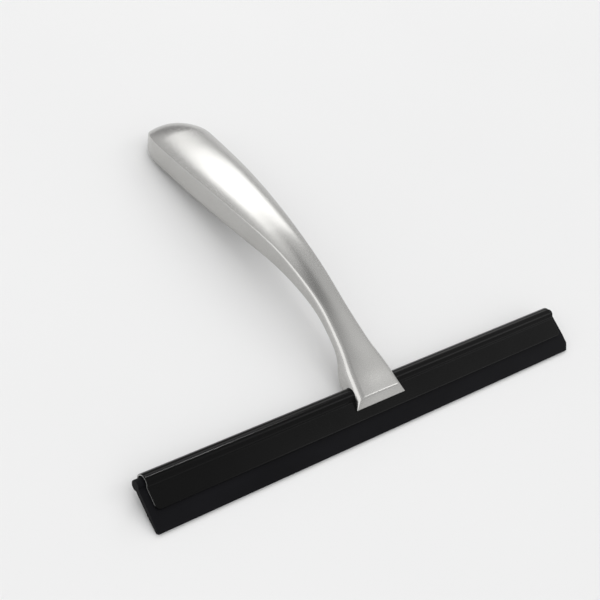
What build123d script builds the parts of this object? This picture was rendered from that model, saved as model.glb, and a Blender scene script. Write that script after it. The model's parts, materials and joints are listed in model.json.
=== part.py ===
from build123d import *
import os
from math import atan2, cos, degrees, radians, sin, sqrt

# ---------------------------------------------------------------------------
# Hand squeegee: a cast handle whose forked foot clamps a folded blade channel,
# with a rubber blade held in the channel's bead.
#
# Every piece is drawn upright: X along the blade, +Y towards the back (the palm
# side), +Z from the wiping edge up the handle, and Z = 0 at the wiping edge.
# The finished pieces are then turned together so that the squeegee lies on its
# back on a table: +Z is up from the table and +Y runs from the blade to the grip.
# Sizes are in millimetres and angles in degrees.
# ---------------------------------------------------------------------------

# Rubber blade
rubber_length = 247.5
lip_height = 8.2                # wiping lip below the channel's leaves
lip_edge_thickness = 1.3
rubber_web_thickness = 2.6
bulb_diameter = 4.6
rubber_corner_radius = 1.2
end_trim_width = 2.4            # corner trimmed off the lip at the +X end
end_trim_height = 3.4

# Folded blade channel
channel_length = 242.0
channel_offset = 0.4            # the channel stands this far from the rubber's middle
sheet_thickness = 0.8
leaf_height = 9.2               # from the leaf's lower edge to the neck under the bead
bead_diameter = 7.2
neck_radius = 1.0
leaf_corner_radius = 2.0
rubber_clearance = 0.1          # each side of the rubber's web, inside the channel

# Saddle: the forked foot of the handle
saddle_gap = 0.15               # between the bead and the arch over it
leaf_gap = 0.06                 # between the front leaf and the front lobe
handle_offset = -1.2            # the handle is clamped this far from the blade's middle
foot_half_width = 14.6          # at the lobes' lower edge
foot_edge_height = 12.8         # lower edge of the lobes above the wiping edge
foot_bevel_height = 3.7
foot_edge_radius = 0.3          # corners of the foot's lower edge
front_edge_wall = 0.6           # thickness of the front lobe at its lower edge
back_edge_wall = 1.0

# Clamp behind the channel
plate_thickness = 0.7
plate_height = 3.4
plate_length = 26.0
plate_corner_radius = 1.0
plate_margin = 0.5              # plate above the lobe's lower edge
plate_gap = 0.03                # between the clamped plate and what it touches
clamp_travel = 0.4              # how far the plate backs off when the screws are loosened
screw_diameter = 3.0
screw_length = 2.4
screw_tip_diameter = 1.8
screw_tip_length = 0.4
screw_clearance = 0.05
screw_chamfer = 0.2
screw_spacing = 15.0
socket_across_flats = 1.5
socket_depth = 1.2

# Handle. Its front edge line is a straight foot, two arcs and a straight grip.
front_y = -5.7                  # where the line starts, at the top of the foot's bevel
foot_lean = 3.2                 # from upright, towards the back
foot_straight = 37.0
neck_bend_radius = 160.0
neck_bend_angle = 19.0
grip_bend_radius = 560.0
grip_bend_angle = 5.6

# Stations along that line: distance, half width, depth, crown of the front face,
# front edge radius, back edge radius
stations = [
    (0.0, 13.5, 10.3, 0.5, 3.2, 1.0),
    (4.5, 12.9, 10.3, 0.6, 3.2, 1.2),
    (9.0, 12.3, 10.2, 0.8, 3.2, 1.4),
    (13.0, 11.7, 10.0, 0.9, 3.2, 1.6),
    (21.0, 10.0, 6.4, 1.0, 2.9, 1.8),
    (29.0, 8.8, 5.3, 1.1, 2.5, 1.8),
    (43.0, 7.6, 6.0, 1.2, 2.1, 2.2),
    (61.0, 8.0, 7.9, 1.5, 1.6, 2.8),
    (79.0, 9.1, 10.1, 2.0, 1.1, 3.4),
    (99.0, 11.4, 11.8, 2.7, 0.7, 3.8),
    (120.0, 13.7, 12.6, 3.3, 0.5, 4.0),
    (142.0, 15.4, 12.8, 3.7, 0.5, 4.0),
    (151.0, 15.8, 12.7, 3.8, 0.5, 4.0),
    (160.0, 16.1, 12.6, 3.8, 0.5, 4.0),
    (167.0, 16.2, 12.7, 3.8, 0.5, 4.0),
]
back_draft = 1.2                # each side leans in by this much towards the back
back_crown = 0.8

# Domed end of the grip, past the last station. Seen from the front and from the side,
# its outline is a quarter of an ellipse that stops short at a small flat.
dome_length = 16.5
dome_side = 11.0                # how far each side comes in
dome_front = 5.5                # how far the front edges drop back
dome_back = 6.0                 # how far the back comes forward
dome_sweep = 80                 # of the quarter's 90 degrees
dome_sections = 6

# ---------------------------------------------------------------------------
# Derived places
# ---------------------------------------------------------------------------
web_half = rubber_web_thickness / 2
leaf_inner = web_half + rubber_clearance
leaf_outer = leaf_inner + sheet_thickness
bead_radius = bead_diameter / 2
bead_inner_radius = bead_radius - sheet_thickness
neck_height = lip_height + leaf_height
bead_height = neck_height + sqrt(bead_radius**2 - leaf_outer**2)
arch_radius = bead_radius + saddle_gap
front_wall_y = -(leaf_outer + leaf_gap)
ridge_height = foot_edge_height + foot_bevel_height
plate_front_y = leaf_outer + plate_gap
plate_back_y = plate_front_y + plate_thickness
back_wall_y = plate_back_y + clamp_travel + plate_gap
clamp_height = foot_edge_height + plate_margin + plate_height / 2
screw_places = (-screw_spacing / 2, screw_spacing / 2)


def front_line(distance):
    """Place (y, z) and lean of the handle's front edge line, from the top of the foot's bevel."""
    lean = radians(foot_lean)
    run = min(distance, foot_straight)
    y = front_y + run * sin(lean)
    z = ridge_height + run * cos(lean)
    distance -= run
    for bend_radius, bend_angle in ((neck_bend_radius, neck_bend_angle), (grip_bend_radius, grip_bend_angle)):
        turn = min(distance / bend_radius, radians(bend_angle))
        y += bend_radius * (cos(lean) - cos(lean + turn))
        z += bend_radius * (sin(lean + turn) - sin(lean))
        lean += turn
        distance -= turn * bend_radius
    return y + distance * sin(lean), z + distance * cos(lean), lean


def across_handle(distance):
    """Plane square to the front line: its x runs across the handle, its y towards the back."""
    y, z, lean = front_line(distance)
    return Plane(origin=(0, y, z), x_dir=(1, 0, 0), z_dir=(0, sin(lean), cos(lean)))


def rounded_section(plane, half_width, depth, crown, front_radius, back_radius, draft, rise=back_crown):
    """A closed outline with a crowned front, leaning sides and a slightly crowned back."""
    back_half = half_width - draft
    with BuildSketch() as flat:
        with BuildLine():
            ThreePointArc((-half_width, 0), (0, -crown), (half_width, 0))
            Line((half_width, 0), (back_half, depth))
            ThreePointArc((back_half, depth), (0, depth + rise), (-back_half, depth))
            Line((-back_half, depth), (-half_width, 0))
        make_face()
        fillet(flat.vertices().sort_by(Axis.Y)[:2], front_radius)
        fillet(flat.vertices().sort_by(Axis.Y)[-2:], back_radius)
    return plane * flat.sketch


def sheet_outline(half_gap, circle_radius):
    """Keyhole shape: a circle at the bead and a slot of the given half width below it."""
    return Pos(0, bead_height) * Circle(circle_radius) + Pos(0, bead_height / 2) * Rectangle(
        2 * half_gap, bead_height)


def make_channel():
    across = Plane.YZ
    outer = sheet_outline(leaf_outer, bead_radius)
    necks = outer.vertices().filter_by_position(Axis.Y, 0.5 * bead_height, bead_height)
    outer = fillet(necks, neck_radius)
    inner = sheet_outline(leaf_inner, bead_inner_radius)
    inner_necks = inner.vertices().filter_by_position(Axis.Y, 0.5 * bead_height, bead_height)
    inner = fillet(inner_necks, neck_radius + sheet_thickness)
    below = Pos(0, lip_height / 2) * Rectangle(4 * leaf_outer, lip_height)
    profile = outer - inner - below
    channel = extrude(across * profile, channel_length / 2, both=True)
    corners = channel.edges().filter_by(Axis.Y).group_by(Axis.Z)[0]
    return fillet(corners, leaf_corner_radius)


def make_rubber():
    bulb = Pos(0, bead_height) * Circle(bulb_diameter / 2)
    web = Pos(0, (lip_height + bead_height) / 2) * Rectangle(2 * web_half, bead_height - lip_height)
    edge_half = lip_edge_thickness / 2
    lip = make_face(Polyline((-edge_half, 0), (edge_half, 0), (web_half, lip_height), (-web_half, lip_height),
                             close=True))
    rubber = extrude(Plane.YZ * (bulb + web + lip), rubber_length / 2, both=True)
    near_corner = rubber.edges().filter_by(Axis.Y).group_by(Axis.Z)[0].sort_by(Axis.X)[0]
    rubber = fillet(near_corner, rubber_corner_radius)
    far_corner = rubber.edges().filter_by(Axis.Y).group_by(Axis.Z)[0].sort_by(Axis.X)[-1]
    end_face = rubber.faces().sort_by(Axis.X)[-1]
    return chamfer(far_corner, end_trim_height, end_trim_width, reference=end_face)


def make_foot():
    """The lobes below the handle's first station, bevelled all round down to their lower edge."""
    top = rounded_section(across_handle(0), *stations[0][1:], back_draft)
    edge_front = front_wall_y - front_edge_wall
    edge_depth = back_wall_y + back_edge_wall - edge_front - back_crown
    edge_plane = Plane(origin=(0, edge_front, foot_edge_height), x_dir=(1, 0, 0), z_dir=(0, 0, 1))
    edge = rounded_section(edge_plane, foot_half_width, edge_depth, foot_edge_radius, foot_edge_radius,
                           foot_edge_radius, 0)
    return loft([edge, top], ruled=True)


def dome_shape(angle):
    """At an angle along the dome's quarter ellipse: place on the line, front drop, half width and depth."""
    start, half_width, depth = stations[-1][:3]
    drop = 1 - cos(radians(angle))
    return (start + dome_length * sin(radians(angle)), dome_front * drop, half_width - dome_side * drop,
            depth - (dome_front + dome_back) * drop)


def dome_section(angle):
    place, front_drop, half_width, depth = dome_shape(angle)
    crown, front_radius, back_radius = stations[-1][3:]
    share = half_width / stations[-1][1]
    plane = across_handle(place)
    plane.origin += plane.y_dir * front_drop
    return rounded_section(plane, half_width, depth, crown * share, front_radius, back_radius * share,
                           back_draft * share, back_crown * share)


def make_slot():
    """Saddle slot: an arch over the bead, a front wall close to the leaf and a back wall behind the plate."""
    arch = Pos(0, bead_height) * Circle(arch_radius)
    mouth = Pos((back_wall_y + front_wall_y) / 2, bead_height / 2) * Rectangle(
        back_wall_y - front_wall_y, bead_height)
    profile = arch + mouth
    lips = profile.vertices().filter_by_position(Axis.Y, 0.5 * bead_height, bead_height)
    profile = fillet(lips, neck_radius - leaf_gap)
    return extrude(Plane.YZ * profile, 2 * foot_half_width, both=True)


def along_screw(x, y):
    """Plane on a clamp screw's axis, facing the back."""
    return Plane(origin=(x, y, clamp_height), x_dir=(1, 0, 0), z_dir=(0, 1, 0))


def make_handle():
    grip = [rounded_section(across_handle(s[0]), *s[1:], back_draft) for s in stations]
    dome = [dome_section(dome_sweep * (i + 1) / dome_sections) for i in range(dome_sections)]
    body = loft(grip + dome) + make_foot() - make_slot()
    hole = Cylinder(screw_diameter / 2 + screw_clearance, foot_half_width,
                    align=(Align.CENTER, Align.CENTER, Align.MIN))
    for x in screw_places:
        body -= along_screw(x, 0) * hole
    return body


def make_pressure_plate():
    outline = RectangleRounded(plate_length, plate_height, plate_corner_radius)
    plate = extrude(along_screw(0, plate_front_y) * outline, plate_thickness)
    for x in screw_places:
        dimple = Cylinder(screw_tip_diameter / 2 + screw_clearance, screw_tip_length,
                          align=(Align.CENTER, Align.CENTER, Align.MAX))
        plate -= along_screw(x, plate_back_y) * dimple
    return plate


def make_clamp_screw(x):
    low = (Align.CENTER, Align.CENTER, Align.MIN)
    shank_length = screw_length - screw_tip_length
    shank = Cylinder(screw_diameter / 2, shank_length, align=low)
    shank = chamfer(shank.edges().group_by(Axis.Z)[-1], screw_chamfer)
    tip = Pos(0, 0, -screw_tip_length) * Cylinder(screw_tip_diameter / 2, screw_tip_length, align=low)
    socket = extrude(RegularPolygon(socket_across_flats / 2, 6, major_radius=False), socket_depth)
    screw = shank + tip - Pos(0, 0, shank_length - socket_depth) * socket
    return along_screw(x, plate_back_y + plate_gap) * screw


def lying_tilt():
    """Angle between the upright pieces and the table: from the lip's back edge to the back of the dome."""
    tilts = []
    for angle in range(dome_sweep):
        place, front_drop, half_width, depth = dome_shape(angle)
        y, z, lean = front_line(place)
        inward = front_drop + depth + back_crown * half_width / stations[-1][1]
        tilts.append(atan2(y + inward * cos(lean) - lip_edge_thickness / 2, z - inward * sin(lean)))
    return max(tilts)


beside_middle = Pos(handle_offset, 0, 0)
pieces = {
    "handle": beside_middle * make_handle(),
    "blade_channel": Pos(channel_offset, 0, 0) * make_channel(),
    "rubber_blade": make_rubber(),
    "pressure_plate": beside_middle * make_pressure_plate(),
    "clamp_screw_left": beside_middle * make_clamp_screw(screw_places[0]),
    "clamp_screw_right": beside_middle * make_clamp_screw(screw_places[1]),
}
laid_down = {name: Rot(degrees(lying_tilt()) - 90, 0, 0) * piece for name, piece in pieces.items()}
box = Compound([solid for piece in laid_down.values() for solid in piece.solids()]).bounding_box()
to_table = Pos(-box.center().X, -box.center().Y, -box.min.Z)

os.makedirs("parts", exist_ok=True)
for name, piece in laid_down.items():
    export_step(to_table * piece, f"parts/{name}.step")
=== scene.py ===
"""Window cleaning squeegee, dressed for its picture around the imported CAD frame.

Shapes are drawn upright in millimetres, as the squeegee is held: X along the blade, Y towards
the back, Z from the wiping edge up the handle. placed() then takes them to the frame, in metres.
"""

import json
from math import acos, atan2, cos, hypot, pi, radians, sin, sqrt

import bmesh
import bpy
import numpy as np
from mathutils import Matrix, Vector


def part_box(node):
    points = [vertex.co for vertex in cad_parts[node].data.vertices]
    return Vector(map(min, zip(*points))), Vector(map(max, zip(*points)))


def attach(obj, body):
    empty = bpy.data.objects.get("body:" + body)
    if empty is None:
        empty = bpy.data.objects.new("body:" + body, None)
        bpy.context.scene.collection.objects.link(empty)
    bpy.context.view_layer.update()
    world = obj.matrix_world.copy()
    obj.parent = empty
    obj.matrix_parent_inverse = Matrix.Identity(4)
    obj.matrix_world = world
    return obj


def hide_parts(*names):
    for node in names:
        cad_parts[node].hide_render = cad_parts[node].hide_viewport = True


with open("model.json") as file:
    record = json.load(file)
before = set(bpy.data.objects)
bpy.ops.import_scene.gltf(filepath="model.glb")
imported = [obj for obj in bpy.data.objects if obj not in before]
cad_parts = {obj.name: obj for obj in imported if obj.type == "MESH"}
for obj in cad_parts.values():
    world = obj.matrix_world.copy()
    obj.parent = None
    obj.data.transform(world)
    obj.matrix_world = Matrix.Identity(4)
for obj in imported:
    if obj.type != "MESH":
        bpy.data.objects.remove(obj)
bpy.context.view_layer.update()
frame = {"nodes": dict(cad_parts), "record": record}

MM = 0.001

# ---------------------------------------------------------------------------
# The upright drawing's place in the frame, from the wiping edge's mount
# ---------------------------------------------------------------------------
edge_mount = frame["record"]["mounts"][0]
edge_place = Vector(edge_mount["pos_m"])
up = -Vector(edge_mount["axis"]).normalized()
along_blade = Vector((1, 0, 0))
back = up.cross(along_blade)
TO_FRAME = Matrix.Translation(edge_place) @ Matrix((along_blade, back, up)).transposed().to_4x4()


def placed(point):
    """An upright point in millimetres, as a point of the frame in metres."""
    return TO_FRAME @ (Vector(point) * MM)


def turned(direction):
    """An upright direction in the frame."""
    return (TO_FRAME.to_3x3() @ Vector(direction)).normalized()


# ---------------------------------------------------------------------------
# Sizes in millimetres
# ---------------------------------------------------------------------------
channel_low, channel_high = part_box("blade_channel")
rubber_low, rubber_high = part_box("rubber_blade")
plate_low, plate_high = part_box("pressure_plate")
handle_x = (plate_low.x + plate_high.x) / 2 / MM

# rubber: height of the tapered lip, half its thickness at the edge, half the web's, the bulb
lip_height = 8.2
lip_edge_half = 0.65
web_half = 1.3
bulb_radius = 2.3
trim_width = 2.4
trim_height = 3.4
rubber_corner = 1.2
rubber_edge_round = 0.12

# channel: sheet thickness, outside of the leaves from the middle, the bead and the neck under it
sheet = 0.8
leaf_outer = 2.2
bead_radius = 3.6
neck_height = 17.4
neck_radius = 1.0
leaf_corner = 2.0
channel_edge_round = 0.14
bead_height = neck_height + sqrt(bead_radius**2 - leaf_outer**2)

# saddle: slot for the channel, holes for the screws, and the foot around them
arch_radius = 3.75
lip_radius = 0.94
front_wall_y = -2.26
back_wall_y = 3.36
clamp_height = 15.0
screw_spacing = 15.0
hole_radius = 1.55
hole_from_y = 0.5
hole_to_y = 15.0
foot_half_width = 14.6
foot_edge_height = 12.8
foot_bevel_height = 3.7
foot_front_y = -2.86
foot_back_y = 4.36
foot_crown = 0.1
foot_corner = 0.3
foot_draft = 0.001
cutter_margin = 5.0

# grip: front edge line, first straight and then in bends of (radius, angle in degrees)
front_y = -5.7
foot_lean = 3.2
foot_straight = 37.0
bends = ((160.0, 19.0), (560.0, 5.6))
# distance along the front line, half width, depth, crown, front edge radius, back edge radius
stations = (
    (0.0, 13.5, 10.3, 0.5, 3.2, 1.0),
    (4.5, 12.9, 10.3, 0.6, 3.2, 1.2),
    (9.0, 12.3, 10.2, 0.8, 3.2, 1.4),
    (13.0, 11.7, 10.0, 0.9, 3.2, 1.6),
    (21.0, 10.0, 6.4, 1.0, 2.9, 1.8),
    (29.0, 8.8, 5.3, 1.1, 2.5, 1.8),
    (43.0, 7.6, 6.0, 1.2, 2.1, 2.2),
    (61.0, 8.0, 7.9, 1.5, 1.6, 2.8),
    (79.0, 9.1, 10.1, 2.0, 1.1, 3.4),
    (99.0, 11.4, 11.8, 2.7, 0.7, 3.8),
    (120.0, 13.7, 12.6, 3.3, 0.5, 4.0),
    (142.0, 15.4, 12.8, 3.7, 0.5, 4.0),
    (151.0, 15.8, 12.7, 3.8, 0.5, 4.0),
    (160.0, 16.1, 12.6, 3.8, 0.5, 4.0),
    (167.0, 16.2, 12.7, 3.8, 0.5, 4.0),
)
draft = 1.2
back_crown = 0.8
dome_length = 16.5
dome_side = 11.0
dome_front = 5.5
dome_back = 6.0
dome_sweep = 80

# where the mesh's rings stand: roundings of the foot's rim and of the ridge above its bevel
rim_inset = 0.25
rim_share = 0.07
rim_rings = 3
ridge_share = 0.14
ridge_above = 0.65
ridge_rings = 6
grip_start = 1.5
grip_rings = 166
dome_rings = 25
cap_rings = 4
hole_sides = 48


# ---------------------------------------------------------------------------
# Mesh helpers
# ---------------------------------------------------------------------------
def smooth_curve(places, values):
    """Natural cubic spline through the values, as a function of place."""
    x, y = np.array(places), np.array(values)
    step = np.diff(x)
    system, right = np.eye(len(x)), np.zeros(len(x))
    for i in range(1, len(x) - 1):
        system[i, i - 1:i + 2] = step[i - 1], 2 * (step[i - 1] + step[i]), step[i]
        right[i] = 3 * ((y[i + 1] - y[i]) / step[i] - (y[i] - y[i - 1]) / step[i - 1])
    bend = np.linalg.solve(system, right)

    def value(place):
        i = int(np.clip(np.searchsorted(x, place) - 1, 0, len(step) - 1))
        t, h = place - x[i], step[i]
        slope = (y[i + 1] - y[i]) / h - h * (2 * bend[i] + bend[i + 1]) / 3
        return float(y[i] + slope * t + bend[i] * t**2 + (bend[i + 1] - bend[i]) / (3 * h) * t**3)

    return value


def arc_points(centre, radius, first, last, count):
    """Points on an arc from the first angle towards the last, without the last one."""
    angles = (first + (last - first) * i / count for i in range(count))
    return [(centre[0] + radius * cos(a), centre[1] + radius * sin(a)) for a in angles]


def line_points(start, end, count):
    return [tuple(s + (e - s) * i / count for s, e in zip(start, end)) for i in range(count)]


def make_mesh(name, points, faces, materials, face_slots=None):
    """A mesh object from upright points in millimetres."""
    mesh = bpy.data.meshes.new(name)
    mesh.from_pydata([placed(p) for p in points], [], faces)
    for material in materials:
        mesh.materials.append(material)
    if face_slots:
        mesh.polygons.foreach_set("material_index", face_slots)
    piece = bpy.data.objects.new(name, mesh)
    bpy.context.scene.collection.objects.link(piece)
    work = bmesh.new()
    work.from_mesh(mesh)
    bmesh.ops.recalc_face_normals(work, faces=work.faces)
    work.to_mesh(mesh)
    work.free()
    return piece


def ring_faces(rings, count, first=0):
    """Quads that join closed rings of count points each."""
    faces = []
    for i in range(rings - 1):
        for j in range(count):
            k = (j + 1) % count
            low, high = first + i * count, first + (i + 1) * count
            faces.append((low + j, low + k, high + k, high + j))
    return faces


def apply_modifiers(piece):
    graph = bpy.context.evaluated_depsgraph_get()
    finished = bpy.data.meshes.new_from_object(piece.evaluated_get(graph))
    piece.modifiers.clear()
    piece.data = finished


def smooth_shading(piece, angle):
    """Smooth faces with edges kept sharp above the angle, weighted so that flat faces stay flat."""
    piece.data.shade_smooth()
    piece.data.set_sharp_from_angle(angle=radians(angle))
    weighted = piece.modifiers.new("weighted", "WEIGHTED_NORMAL")
    weighted.keep_sharp = True
    weighted.weight = 50
    apply_modifiers(piece)


# ---------------------------------------------------------------------------
# Materials
# ---------------------------------------------------------------------------
def new_material(name):
    """A node material, its nodes, links and shader, and the place for its textures, in metres."""
    material = bpy.data.materials.new(name)
    material.use_nodes = True
    nodes, links = material.node_tree.nodes, material.node_tree.links
    shader = nodes["Principled BSDF"]
    place = nodes.new("ShaderNodeTexCoord").outputs["Object"]
    return material, nodes, links, shader, place


def noise(nodes, links, place, stretch, detail=2.0, roughness=0.5):
    """Noise whose grain is one over the stretch, in metres, along each axis."""
    mapping = nodes.new("ShaderNodeMapping")
    mapping.inputs["Scale"].default_value = stretch
    links.new(place, mapping.inputs["Vector"])
    texture = nodes.new("ShaderNodeTexNoise")
    texture.inputs["Scale"].default_value = 1.0
    texture.inputs["Detail"].default_value = detail
    texture.inputs["Roughness"].default_value = roughness
    links.new(mapping.outputs["Vector"], texture.inputs["Vector"])
    return texture.outputs["Fac"]


def remap(nodes, links, value, low, high, from_low=0.3, from_high=0.7):
    node = nodes.new("ShaderNodeMapRange")
    node.inputs["From Min"].default_value = from_low
    node.inputs["From Max"].default_value = from_high
    node.inputs["To Min"].default_value = low
    node.inputs["To Max"].default_value = high
    links.new(value, node.inputs["Value"])
    return node.outputs["Result"]


def mix_colour(nodes, links, factor, first, second):
    node = nodes.new("ShaderNodeMix")
    node.data_type = "RGBA"
    node.inputs["A"].default_value = (*first, 1)
    node.inputs["B"].default_value = (*second, 1)
    links.new(factor, node.inputs["Factor"])
    return node.outputs["Result"]


def bump(nodes, links, shader, heights):
    """Chain of bumps; each height is (value, depth in metres, strength)."""
    normal = None
    for value, depth, strength in heights:
        node = nodes.new("ShaderNodeBump")
        node.inputs["Strength"].default_value = strength
        node.inputs["Distance"].default_value = depth
        links.new(value, node.inputs["Height"])
        if normal:
            links.new(normal, node.inputs["Normal"])
        normal = node.outputs["Normal"]
    links.new(normal, shader.inputs["Normal"])


def satin_nickel():
    material, nodes, links, shader, place = new_material("satin_nickel")
    cloud = noise(nodes, links, place, (60, 60, 60), 3.0)
    grain = noise(nodes, links, place, (9000, 500, 9000), 2.0)
    speckle = noise(nodes, links, place, (2600, 2600, 2600), 3.0, 0.6)
    share = remap(nodes, links, cloud, 0, 1)
    colour = mix_colour(nodes, links, share, (0.52, 0.515, 0.5), (0.56, 0.555, 0.54))
    links.new(colour, shader.inputs["Base Color"])
    links.new(remap(nodes, links, speckle, 0.23, 0.29), shader.inputs["Roughness"])
    shader.inputs["Metallic"].default_value = 1.0
    heights = ((cloud, 0.0002, 0.03), (grain, 0.000003, 0.15), (speckle, 0.000003, 0.12))
    bump(nodes, links, shader, heights)
    return material


def gloss_black():
    material, nodes, links, shader, place = new_material("gloss_black")
    cloud = noise(nodes, links, place, (45, 45, 45), 3.0)
    peel = noise(nodes, links, place, (900, 900, 900), 2.0)
    dust = noise(nodes, links, place, (5200, 5200, 5200), 2.0, 0.7)
    share = remap(nodes, links, dust, 0, 1, 0.55, 0.8)
    colour = mix_colour(nodes, links, share, (0.003, 0.003, 0.003), (0.008, 0.008, 0.008))
    links.new(colour, shader.inputs["Base Color"])
    links.new(remap(nodes, links, cloud, 0.14, 0.2), shader.inputs["Roughness"])
    shader.inputs["Specular IOR Level"].default_value = 0.095
    bump(nodes, links, shader, ((peel, 0.00002, 0.2), (dust, 0.000006, 0.15)))
    return material


def cut_edge():
    """The strip's sheared ends, where the paint is thin."""
    material, nodes, links, shader, place = new_material("cut_edge")
    chips = noise(nodes, links, place, (1800, 1800, 1800), 3.0, 0.6)
    streak = noise(nodes, links, place, (6000, 6000, 900), 2.0)
    share = remap(nodes, links, chips, 0, 1, 0.35, 0.6)
    colour = mix_colour(nodes, links, share, (0.55, 0.55, 0.54), (0.2, 0.2, 0.2))
    links.new(colour, shader.inputs["Base Color"])
    links.new(remap(nodes, links, streak, 0.3, 0.5), shader.inputs["Roughness"])
    links.new(remap(nodes, links, chips, 0.9, 0.2, 0.35, 0.6), shader.inputs["Metallic"])
    bump(nodes, links, shader, ((streak, 0.00001, 0.3), (chips, 0.00001, 0.2)))
    return material


def black_rubber():
    material, nodes, links, shader, place = new_material("black_rubber")
    cloud = noise(nodes, links, place, (35, 90, 90), 4.0)
    drag = noise(nodes, links, place, (120, 2400, 2400), 2.0)
    grain = noise(nodes, links, place, (4200, 4200, 4200), 3.0, 0.7)
    share = remap(nodes, links, cloud, 0, 1)
    colour = mix_colour(nodes, links, share, (0.004, 0.004, 0.005), (0.006, 0.006, 0.0075))
    links.new(colour, shader.inputs["Base Color"])
    links.new(remap(nodes, links, grain, 0.5, 0.68), shader.inputs["Roughness"])
    shader.inputs["Specular IOR Level"].default_value = 0.08
    shader.inputs["Sheen Weight"].default_value = 0.01
    shader.inputs["Sheen Roughness"].default_value = 0.5
    bump(nodes, links, shader, ((drag, 0.00001, 0.2), (grain, 0.00002, 0.3)))
    return material


def plain_steel(name, colour, roughness):
    """Rolled or turned steel with a fine grain."""
    material, nodes, links, shader, place = new_material(name)
    grain = noise(nodes, links, place, (400, 7000, 7000), 2.0)
    cloud = noise(nodes, links, place, (300, 300, 300), 3.0)
    darker = tuple(c * 0.7 for c in colour)
    links.new(mix_colour(nodes, links, remap(nodes, links, cloud, 0, 1), darker, colour),
              shader.inputs["Base Color"])
    links.new(remap(nodes, links, grain, roughness - 0.06, roughness + 0.08), shader.inputs["Roughness"])
    shader.inputs["Metallic"].default_value = 1.0
    bump(nodes, links, shader, ((grain, 0.000008, 0.3),))
    return material


def floor_material():
    material, nodes, links, shader, place = new_material("pale_floor")
    cloud = noise(nodes, links, place, (3, 3, 3), 2.0)
    share = remap(nodes, links, cloud, 0, 1)
    colour = mix_colour(nodes, links, share, (0.86, 0.86, 0.86), (0.88, 0.88, 0.88))
    links.new(colour, shader.inputs["Base Color"])
    shader.inputs["Roughness"].default_value = 0.9
    shader.inputs["Specular IOR Level"].default_value = 0.1
    return material


# ---------------------------------------------------------------------------
# Handle
# ---------------------------------------------------------------------------
def front_line(distance):
    """Place (y, z) and lean of the handle's front edge line, from the top of the foot's bevel."""
    lean = radians(foot_lean)
    run = min(distance, foot_straight)
    y = front_y + run * sin(lean)
    z = foot_edge_height + foot_bevel_height + run * cos(lean)
    distance -= run
    for bend_radius, bend_angle in bends:
        turn = min(distance / bend_radius, radians(bend_angle))
        y += bend_radius * (cos(lean) - cos(lean + turn))
        z += bend_radius * (sin(lean + turn) - sin(lean))
        lean += turn
        distance -= turn * bend_radius
    return y + distance * sin(lean), z + distance * cos(lean), lean


def edge_fillet(corner, toward, outward, radius, centre, big_radius, side):
    """Centre and end angles of a fillet between a side line and a crowned face's arc.

    The side is -1 for the front face and 1 for the back one.
    """
    base = Vector(corner) - Vector(outward) * radius
    gap = base - Vector(centre)
    half = gap.dot(Vector(toward))
    root = sqrt(max(0.0, half**2 - gap.length_squared + (big_radius - radius)**2))
    middle = base + Vector(toward) * (side * root - half)
    return middle, atan2(middle.y - centre[1], middle.x - centre[0]), atan2(outward[1], outward[0])


def section_outline(half_width, depth, crown, front_radius, back_radius, lean_in, rise):
    """Closed outline (x, y) of the handle: crowned front, leaning sides, rounded back."""
    slant = hypot(lean_in, depth)
    toward = (-lean_in / slant, depth / slant)
    outward = (depth / slant, lean_in / slant)
    front_big = (half_width**2 + crown**2) / (2 * crown)
    front_centre = (0, front_big - crown)
    back_half = half_width - lean_in
    back_big = (back_half**2 + rise**2) / (2 * rise)
    back_centre = (0, depth + rise - back_big)
    corner = (half_width, 0)
    front, front_from, side_angle = edge_fillet(corner, toward, outward, front_radius,
                                                front_centre, front_big, -1)
    rear, rear_to, _ = edge_fillet(corner, toward, outward, back_radius, back_centre, back_big, 1)
    side_start = front + Vector(outward) * front_radius
    side_end = rear + Vector(outward) * back_radius
    half = arc_points(front_centre, front_big, -pi / 2, front_from, 14)
    half += arc_points(front, front_radius, front_from, side_angle, 7)
    half += line_points(side_start, side_end, 7)
    half += arc_points(rear, back_radius, side_angle, rear_to, 8)
    half += arc_points(back_centre, back_big, rear_to, pi / 2, 10)
    half.append((0, depth + rise))
    return half + [(-x, y) for x, y in half[-2:0:-1]]


def handle_ring(distance, half_width, depth, crown, front_radius, back_radius, lean_in, rise, drop=0.0):
    y0, z0, lean = front_line(distance)
    outline = section_outline(half_width, depth, crown, front_radius, back_radius, lean_in, rise)
    return [Vector((x, y0 + (y + drop) * cos(lean), z0 - (y + drop) * sin(lean))) for x, y in outline]


shape_along = [smooth_curve([s[0] for s in stations], [s[k] for s in stations]) for k in range(1, 6)]


def grip_ring(distance):
    return handle_ring(distance, *(shape(distance) for shape in shape_along), draft, back_crown)


def dome_ring(angle):
    """Ring at an angle along the quarter ellipse that closes the grip."""
    start, half_width, depth, crown, front_radius, back_radius = stations[-1]
    fall = 1 - cos(radians(angle))
    narrow = half_width - dome_side * fall
    share = narrow / half_width
    return handle_ring(start + dome_length * sin(radians(angle)), narrow,
                       depth - (dome_front + dome_back) * fall, crown * share, front_radius + fall,
                       back_radius * share, draft * share, back_crown * share, dome_front * fall)


def foot_ring(inset=0.0):
    """Ring of the foot's lower edge, or one that stands in from it."""
    depth = foot_back_y - foot_front_y - 2 * inset
    outline = section_outline(foot_half_width - inset, depth, foot_crown, foot_corner, foot_corner,
                              foot_draft, foot_crown)
    return [Vector((x, foot_front_y + inset + y, foot_edge_height)) for x, y in outline]


def between(first, second, share):
    return [a.lerp(b, share) for a, b in zip(first, second)]


def rounded_corner(before, corner, after, count):
    """Rings that round a corner between three rings."""
    shares = [i / count for i in range(count + 1)]
    return [between(between(before, corner, t), between(corner, after, t), t) for t in shares]


def closing_rings(ring, count):
    """Rings that shrink to the middle of the last one."""
    middle = sum(ring, Vector()) / len(ring)
    return [[middle.lerp(p, 1 - i / count) for p in ring] for i in range(1, count)]


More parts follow.
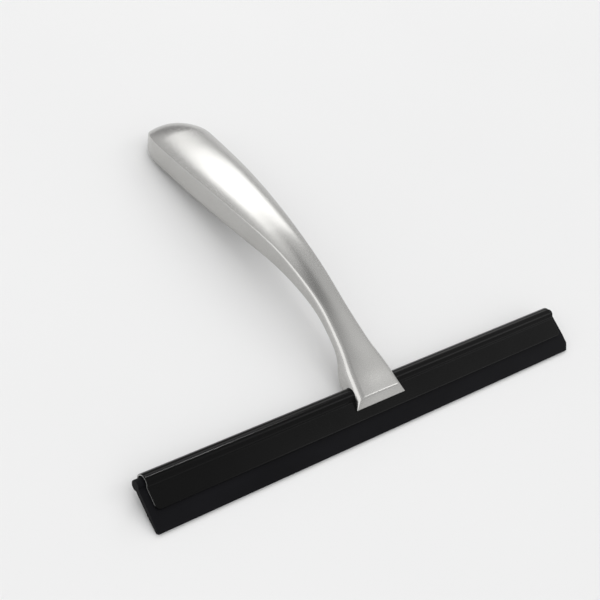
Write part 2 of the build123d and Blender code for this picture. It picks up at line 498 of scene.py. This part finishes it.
def cutter(name, outline, plane_point, half_length):
    """A prism along X through an upright (y, z) outline."""
    count = len(outline)
    points = [(plane_point + side * half_length, y, z) for side in (-1, 1) for y, z in outline]
    faces = ring_faces(2, count) + [tuple(range(count)), tuple(range(count, 2 * count))]
    return make_mesh(name, points, faces, [])


def slot_outline():
    """Saddle slot: two walls with rounded lips and the arch over the bead."""
    floor_z = foot_edge_height - cutter_margin
    reach = arch_radius + lip_radius
    front_lip_y, rear_lip_y = front_wall_y - lip_radius, back_wall_y + lip_radius
    front_z, rear_z = (bead_height - sqrt(reach**2 - y**2) for y in (front_lip_y, rear_lip_y))
    front_angle = atan2(bead_height - front_z, -front_lip_y)
    rear_angle = atan2(bead_height - rear_z, -rear_lip_y)
    outline = [(front_wall_y, floor_z)]
    outline += arc_points((front_lip_y, front_z), lip_radius, 0.0, front_angle, 8)
    outline += arc_points((0, bead_height), arch_radius, pi + front_angle, rear_angle - pi, 56)
    outline += arc_points((rear_lip_y, rear_z), lip_radius, rear_angle, pi, 8)
    return outline + [(back_wall_y, rear_z), (back_wall_y, floor_z)]


def screw_hole(x):
    """A round cutter through the back lobe."""
    count = hole_sides
    angles = [2 * pi * i / count for i in range(count)]
    circle = [(hole_radius * cos(a), hole_radius * sin(a)) for a in angles]
    points = [(x + a, y, clamp_height + b) for y in (hole_from_y, hole_to_y) for a, b in circle]
    faces = ring_faces(2, count) + [tuple(range(count)), tuple(range(count, 2 * count))]
    return make_mesh("hole_cutter", points, faces, [])


def cut(piece, tool):
    modifier = piece.modifiers.new("cut", "BOOLEAN")
    modifier.operation = "DIFFERENCE"
    modifier.solver = "EXACT"
    modifier.object = tool
    apply_modifiers(piece)
    bpy.data.objects.remove(tool)


def make_handle(material):
    foot = foot_ring()
    ridge = grip_ring(0)
    rim = rounded_corner(foot_ring(rim_inset), foot, between(foot, ridge, rim_share), rim_rings)
    ridge_round = rounded_corner(between(ridge, foot, ridge_share), ridge, grip_ring(ridge_above),
                                 ridge_rings)
    grip = [grip_ring(d) for d in np.linspace(grip_start, stations[-1][0], grip_rings)]
    dome = [dome_ring(a) for a in np.linspace(0, dome_sweep, dome_rings)[1:]]
    rings = rim + ridge_round + grip + dome + closing_rings(dome[-1], cap_rings)
    count = len(foot)
    points = [p + Vector((handle_x, 0, 0)) for ring in rings for p in ring]
    faces = ring_faces(len(rings), count)
    faces.append(tuple(range(count)))
    points.append(sum(rings[-1], Vector()) / count + Vector((handle_x, 0, 0)))
    last = (len(rings) - 1) * count
    faces += [(last + j, last + (j + 1) % count, len(points) - 1) for j in range(count)]
    handle = make_mesh("cast_handle", points, faces, [material])
    cut(handle, cutter("slot_cutter", slot_outline(), handle_x, 2 * foot_half_width))
    for side in (-0.5, 0.5):
        cut(handle, screw_hole(handle_x + side * screw_spacing))
    smooth_shading(handle, 32)
    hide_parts("handle")
    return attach(handle, "handle")


# ---------------------------------------------------------------------------
# Blade channel
# ---------------------------------------------------------------------------
def channel_path(lowest):
    """Middle line of the folded sheet, from the front leaf's lower edge over the bead to the back one's.

    Each point is (y, z, outward normal y, outward normal z, distance from the lower edge).
    """
    far_from_edge = 9.0
    neck_steps, bead_steps = 8, 34
    middle_y = leaf_outer - sheet / 2
    turn_y = leaf_outer + neck_radius
    reach = bead_radius + neck_radius
    turn_z = bead_height - sqrt(reach**2 - turn_y**2)
    meet = atan2(bead_height - turn_z, turn_y)
    bend = neck_radius + sheet / 2
    path = []
    steps = [0.0, 0.04, 0.12] + list(np.linspace(0.5, turn_z - lowest, 12))
    for step in steps:
        path.append((-middle_y, lowest + step, -1.0, 0.0, step))
    for i in range(1, neck_steps + 1):
        a = meet * i / neck_steps
        path.append((-turn_y + bend * cos(a), turn_z + bend * sin(a), -cos(a), -sin(a), far_from_edge))
    radius = bead_radius - sheet / 2
    for i in range(1, bead_steps + 1):
        a = pi + meet - (pi / 2 + meet) * i / bead_steps
        path.append((radius * cos(a), bead_height + radius * sin(a), cos(a), sin(a), far_from_edge))
    return path + [(-y, z, -ny, nz, near) for y, z, ny, nz, near in path[-2::-1]]


def eased(depth, soft):
    """How far an edge's rounding stands in from the face, at a depth from the edge."""
    if depth >= soft:
        return 0.0
    return soft - sqrt(soft**2 - (soft - depth)**2)


def make_channel(paint, edge):
    soft = channel_edge_round
    low, high = channel_low.x / MM, channel_high.x / MM
    ends = [0.0, 0.03, 0.07, 0.14, 0.3, 0.55, 0.85, 1.2, 1.6, leaf_corner]
    middle = list(np.linspace(low + 5, high - 5, 60))
    places = [low + e for e in ends] + middle + [high - e for e in reversed(ends)]
    points, faces, slots = [], [], []
    for x in places:
        inset = min(x - low, high - x)
        lift = leaf_corner - sqrt(leaf_corner**2 - max(0.0, leaf_corner - inset)**2)
        path = channel_path(lip_height + lift)
        for side in (1, -1):
            for y, z, ny, nz, near in path:
                reach = side * (sheet / 2 - max(eased(inset, soft), eased(near, soft)))
                points.append((x, y + ny * reach, z + nz * reach))
    count = len(path)
    ring = 2 * count
    for i in range(len(places) - 1):
        for side in range(2):
            for j in range(count - 1):
                a = i * ring + side * count + j
                faces.append((a, a + 1, a + ring + 1, a + ring))
                slots.append(0)
        for j in (0, count - 1):
            a = i * ring + j
            faces.append((a, a + count, a + ring + count, a + ring))
            slots.append(0)
    for i in (0, len(places) - 1):
        for j in range(count - 1):
            a = i * ring + j
            faces.append((a, a + 1, a + count + 1, a + count))
            slots.append(1)
    channel = make_mesh("folded_channel", points, faces, [paint, edge], slots)
    smooth_shading(channel, 40)
    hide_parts("blade_channel")
    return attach(channel, "channel")


# ---------------------------------------------------------------------------
# Rubber blade
# ---------------------------------------------------------------------------
def rubber_side(lowest):
    """One side of the rubber's outline, from the wiping edge up to the top of its bulb.

    Each point is (y, z, outward normal y, outward normal z).
    """
    bulb_steps = 24
    slope = atan2(web_half - lip_edge_half, lip_height)
    side = []
    for share in [0.0, 0.012, 0.03] + list(np.linspace(0.07, 1.0, 12)):
        z = lowest + (lip_height - lowest) * share
        half_thick = lip_edge_half + (web_half - lip_edge_half) * z / lip_height
        side.append((half_thick, z, cos(slope), -sin(slope)))
    bulb_from = -acos(web_half / bulb_radius)
    web_top = bead_height + bulb_radius * sin(bulb_from)
    for z in np.linspace(lip_height, web_top, 8)[1:]:
        side.append((web_half, z, 1.0, 0.0))
    for i in range(1, bulb_steps + 1):
        a = bulb_from + (pi / 2 - bulb_from) * i / bulb_steps
        side.append((bulb_radius * cos(a), bead_height + bulb_radius * sin(a), cos(a), sin(a)))
    return side


def rubber_lift(x, low, high):
    """How far the lower corners are cut back: a round one at one end, a trimmed one at the other."""
    near = x - low
    if near < rubber_corner:
        return rubber_corner - sqrt(rubber_corner**2 - (rubber_corner - near)**2)
    return max(0.0, trim_height * (x - high + trim_width) / trim_width)


def make_rubber(material):
    soft = rubber_edge_round
    sideways = 0.9
    low, high = rubber_low.x / MM, rubber_high.x / MM
    ends = [0.0, 0.025, 0.06, 0.12, 0.25, 0.45, 0.7, 0.95, rubber_corner]
    trims = [0.0, 0.03, 0.07, 0.12, 0.6, 1.2, 1.8, 2.3, trim_width, 2.55]
    middle = list(np.linspace(low + 4, high - 6, 60))
    places = [low + e for e in ends] + middle + [high - t for t in reversed(trims)]
    points = []
    for x in places:
        inset = eased(min(x - low, high - x), soft)
        lowest = rubber_lift(x, low, high)
        side = rubber_side(lowest)
        half = []
        for y, z, ny, nz in side:
            tuck = max(inset, eased(z - lowest, soft))
            half.append((x, max(0.0, y - ny * tuck), z - nz * inset if ny < sideways else z))
        points += half + [(x, -y, z) for x, y, z in reversed(half[:-1])]
    count = 2 * len(side) - 1
    faces = ring_faces(len(places), count)
    last = (len(places) - 1) * count
    for j in range(len(side) - 1):
        k = count - 1 - j
        for base in (0, last):
            if k - 1 == j + 1:
                faces.append((base + j, base + j + 1, base + k))
            else:
                faces.append((base + j, base + j + 1, base + k - 1, base + k))
    rubber = make_mesh("rubber_strip", points, faces, [material])
    smooth_shading(rubber, 35)
    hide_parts("rubber_blade")
    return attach(rubber, "rubber")


# ---------------------------------------------------------------------------
# Stage, light and camera
# ---------------------------------------------------------------------------
light_distance = 2.0  # metres from the squeegee


def sky_direction(azimuth, elevation):
    """Direction in the frame: azimuth from +Y round to +X, elevation above the table, in degrees."""
    a, e = radians(azimuth), radians(elevation)
    return Vector((sin(a) * cos(e), cos(a) * cos(e), sin(e)))


def softbox(name, first, last, width, radiance):
    """A softbox that faces the squeegee, from one (azimuth, elevation) to another.

    The angles and the width across are in degrees, as seen from the squeegee.
    """
    start, end = sky_direction(*first), sky_direction(*last)
    way = (start + end).normalized()
    length = 2 * light_distance * sin(start.angle(end) / 2)
    light = bpy.data.lights.new(name, "AREA")
    light.shape = "RECTANGLE"
    light.size, light.size_y = length, 2 * light_distance * sin(radians(width) / 2)
    light.energy = radiance * pi * light.size * light.size_y
    lamp = bpy.data.objects.new(name, light)
    bpy.context.scene.collection.objects.link(lamp)
    long_side = (end - start).normalized()
    turn = Matrix((long_side, way.cross(long_side), way)).transposed().to_4x4()
    lamp.matrix_world = Matrix.Translation(way * light_distance) @ turn
    lamp.visible_camera = False
    return lamp


def studio_walls(base, patches):
    """Even grey walls with soft round patches of another grey.

    Each patch is (azimuth, elevation, radius of its even middle, outer radius, grey), in degrees.
    """
    world = bpy.data.worlds.new("studio")
    world.use_nodes = True
    nodes, links = world.node_tree.nodes, world.node_tree.links
    way = nodes.new("ShaderNodeTexCoord").outputs["Generated"]
    grey = None
    for azimuth, elevation, inner, outer, brightness in patches:
        dot = nodes.new("ShaderNodeVectorMath")
        dot.operation = "DOT_PRODUCT"
        dot.inputs[1].default_value = sky_direction(azimuth, elevation)
        links.new(way, dot.inputs[0])
        edge = nodes.new("ShaderNodeMapRange")
        edge.interpolation_type = "SMOOTHSTEP"
        edge.inputs["From Min"].default_value = cos(radians(outer))
        edge.inputs["From Max"].default_value = cos(radians(inner))
        links.new(dot.outputs["Value"], edge.inputs["Value"])
        mix = nodes.new("ShaderNodeMix")
        mix.data_type = "RGBA"
        mix.inputs["A"].default_value = (base, base, base, 1)
        mix.inputs["B"].default_value = (brightness, brightness, brightness, 1)
        links.new(edge.outputs["Result"], mix.inputs["Factor"])
        if grey:
            links.new(grey, mix.inputs["A"])
        grey = mix.outputs["Result"]
    links.new(grey, nodes["Background"].inputs["Color"])
    bpy.context.scene.world = world


def make_stage():
    """A pale floor, 24 m square, so that its edge stays far off."""
    size = 12.0
    mesh = bpy.data.meshes.new("floor")
    corners = [(-size, -size, 0), (size, -size, 0), (size, size, 0), (-size, size, 0)]
    mesh.from_pydata(corners, [], [(0, 1, 2, 3)])
    mesh.materials.append(floor_material())
    floor = bpy.data.objects.new("floor", mesh)
    bpy.context.scene.collection.objects.link(floor)


def only_on(lamp, piece):
    """Limit a light to one piece."""
    lit = bpy.data.collections.new(lamp.name + "_lit")
    lit.objects.link(piece)
    lamp.light_linking.receiver_collection = lit


def make_light(channel):
    """Walls and softboxes; the ceiling one stays out of reflections, the strip lights the bead."""
    patches = ((50, 68, 4, 21, 0.2), (104, 42, 4, 20, 0.85), (30, 2, 12, 32, 0.36), (20, 60, 4, 18, 0.95))
    studio_walls(0.66, patches)
    softbox("key_softbox", (5, 50), (57, 15), 19, 1.85)
    softbox("left_softbox", (-84, 4), (-84, 62), 46, 0.9)
    softbox("right_softbox", (110, 44), (124, 40), 24, 1.9)
    ceiling = softbox("ceiling", (-60, 70), (120, 70), 60, 0.8)
    ceiling.visible_glossy = False
    only_on(softbox("bead_strip", (50, 60), (60, 53), 3, 48.0), channel)
    bpy.context.scene.view_settings.view_transform = "Standard"


def make_camera():
    """Camera low on the left in front, turned so that the blade runs up to the right."""
    right = turned((0.7566, -0.4811, -0.4428))
    down = turned((-0.2535, 0.4084, -0.8769))
    ahead = turned((0.6027, 0.7757, 0.1870))
    data = bpy.data.cameras.new("camera")
    data.lens, data.sensor_width = 69.0, 36.0
    camera = bpy.data.objects.new("camera", data)
    bpy.context.scene.collection.objects.link(camera)
    turn = Matrix((right, -down, -ahead)).transposed().to_4x4()
    camera.matrix_world = Matrix.Translation(placed((-318.9, -392.2, -26.6))) @ turn
    bpy.context.scene.camera = camera


# ---------------------------------------------------------------------------
# The whole picture
# ---------------------------------------------------------------------------
make_camera()
make_stage()
make_handle(satin_nickel())
make_light(make_channel(gloss_black(), cut_edge()))
make_rubber(black_rubber())
steel = plain_steel("rolled_steel", (0.55, 0.55, 0.54), 0.35)
dark_steel = plain_steel("dark_steel", (0.16, 0.16, 0.17), 0.32)
hidden_pieces = (
    ("pressure_plate", steel),
    ("clamp_screw_left", dark_steel),
    ("clamp_screw_right", dark_steel),
)
for node, material in hidden_pieces:
    frame["nodes"][node].data.materials.clear()
    frame["nodes"][node].data.materials.append(material)
